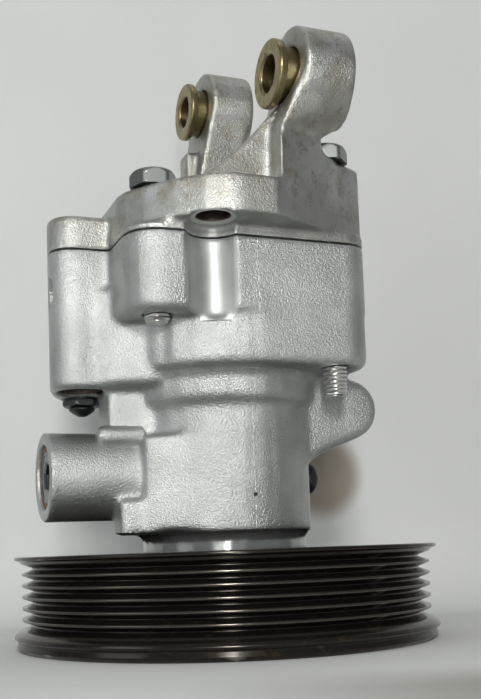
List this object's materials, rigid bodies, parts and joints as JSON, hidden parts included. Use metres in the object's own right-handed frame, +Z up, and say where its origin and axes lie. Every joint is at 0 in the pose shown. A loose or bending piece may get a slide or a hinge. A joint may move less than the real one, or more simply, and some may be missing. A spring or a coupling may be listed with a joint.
{
  "type": "power steering pump",
  "caption": "Belt-driven vane pump: cast housing with side ports, bolted cover with two bushed mounting ears, and a grooved pulley on its shaft.",
  "frame": {"origin": "centre of the shaft's end face, on the pulley's side", "axes": "+Z up the shaft from the pulley to the mounting ears, -X towards the ports, -Y the front of the picture"},
  "size_m": [0.1384, 0.1376, 0.2128],
  "materials": {
    "cast_aluminium": "as cast, lightly grained",
    "cover_aluminium": "as cast, smoother, stained in the corners",
    "blacked_steel": "black coat, worn bright on the edges",
    "ground_steel": "turned and ground",
    "zinc_plate": "bright zinc plate",
    "yellow_zinc": "yellow zinc plate",
    "bronze": "sintered bronze",
    "black_rubber": "matte",
    "black_plastic": "satin"
  },
  "bodies": {
    "pump_body": {"housing": "cast_aluminium", "rear_cover": "cover_aluminium", "valve_plug": "zinc_plate", "return_union": "zinc_plate", "shaft_front_bush": "bronze", "shaft_rear_bush": "bronze", "shaft_seal": "black_rubber", "valve_plug_o_ring": "black_rubber", "side_plate_o_ring": "black_rubber", "cover_o_ring": "black_rubber", "passage_plug": "black_plastic", "union_cap": "black_plastic", "mount_bush_near": "yellow_zinc", "mount_bush_far": "yellow_zinc", "cover_bolt_1": "zinc_plate", "cover_bolt_2": "zinc_plate", "cover_bolt_3": "zinc_plate", "cover_bolt_4": "zinc_plate", "bearing_outer_race": "ground_steel", "bearing_snap_ring": "ground_steel", "valve_spring": "ground_steel", "front_side_plate": "ground_steel", "rear_side_plate": "ground_steel", "cam_ring": "ground_steel", "dowel_pin_1": "ground_steel", "dowel_pin_2": "ground_steel"},
    "shaft_and_pulley": {"drive_shaft": "ground_steel", "pulley": "blacked_steel", "pulley_key": "ground_steel", "pulley_nut": "zinc_plate", "pulley_washer": "zinc_plate", "bearing_inner_race": "ground_steel", "rotor": "ground_steel", "rotor_circlip": "ground_steel"},
    "ball_cage": {"bearing_cage": "bronze", "bearing_ball_1": "ground_steel", "bearing_ball_2": "ground_steel", "bearing_ball_3": "ground_steel", "bearing_ball_4": "ground_steel", "bearing_ball_5": "ground_steel", "bearing_ball_6": "ground_steel", "bearing_ball_7": "ground_steel"},
    "spool": {"valve_spool": "ground_steel"},
    "vane_1_body": {"vane_1": "ground_steel"},
    "vane_2_body": {"vane_2": "ground_steel"},
    "vane_3_body": {"vane_3": "ground_steel"},
    "vane_4_body": {"vane_4": "ground_steel"},
    "vane_5_body": {"vane_5": "ground_steel"},
    "vane_6_body": {"vane_6": "ground_steel"},
    "vane_7_body": {"vane_7": "ground_steel"},
    "vane_8_body": {"vane_8": "ground_steel"},
    "vane_9_body": {"vane_9": "ground_steel"},
    "vane_10_body": {"vane_10": "ground_steel"}
  },
  "joints": [
    {"name": "shaft_spin", "type": "hinge", "parent": "pump_body", "child": "shaft_and_pulley", "pos_m": [0, 0, 0], "axis": [0, 0, 1], "continuous": true},
    {"name": "cage_spin", "type": "hinge", "parent": "pump_body", "child": "ball_cage", "pos_m": [0, 0, 0.0281], "axis": [0, 0, 1], "continuous": true},
    {"name": "vane_1_slide", "type": "slide", "parent": "shaft_and_pulley", "child": "vane_1_body", "axis": [1, 0, 0], "range_m": [0, 0.0024]},
    {"name": "vane_2_slide", "type": "slide", "parent": "shaft_and_pulley", "child": "vane_2_body", "axis": [0.809, 0.5878, 0], "range_m": [0, 0.0016]},
    {"name": "vane_3_slide", "type": "slide", "parent": "shaft_and_pulley", "child": "vane_3_body", "axis": [0.309, 0.9511, 0], "range_m": [0, 0.0003]},
    {"name": "vane_4_slide", "type": "slide", "parent": "shaft_and_pulley", "child": "vane_4_body", "axis": [-0.309, 0.9511, 0], "range_m": [0, 0.0003]},
    {"name": "vane_5_slide", "type": "slide", "parent": "shaft_and_pulley", "child": "vane_5_body", "axis": [-0.809, 0.5878, 0], "range_m": [0, 0.0016]},
    {"name": "vane_6_slide", "type": "slide", "parent": "shaft_and_pulley", "child": "vane_6_body", "axis": [-1, 0, 0], "range_m": [0, 0.0024]},
    {"name": "vane_7_slide", "type": "slide", "parent": "shaft_and_pulley", "child": "vane_7_body", "axis": [-0.809, -0.5878, 0], "range_m": [0, 0.0016]},
    {"name": "vane_8_slide", "type": "slide", "parent": "shaft_and_pulley", "child": "vane_8_body", "axis": [-0.309, -0.9511, 0], "range_m": [0, 0.0003]},
    {"name": "vane_9_slide", "type": "slide", "parent": "shaft_and_pulley", "child": "vane_9_body", "axis": [0.309, -0.9511, 0], "range_m": [0, 0.0003]},
    {"name": "vane_10_slide", "type": "slide", "parent": "shaft_and_pulley", "child": "vane_10_body", "axis": [0.809, -0.5878, 0], "range_m": [0, 0.0016]},
    {"name": "spool_slide", "type": "slide", "parent": "pump_body", "child": "spool", "axis": [1, 0, 0], "range_m": [0, 0.005], "stiffness_N_per_m": 8000, "deforming": ["valve_spring"]}
  ],
  "couplings": [
    {"joint": "cage_spin", "follows": "shaft_spin", "ratio": 0.389}
  ]
}
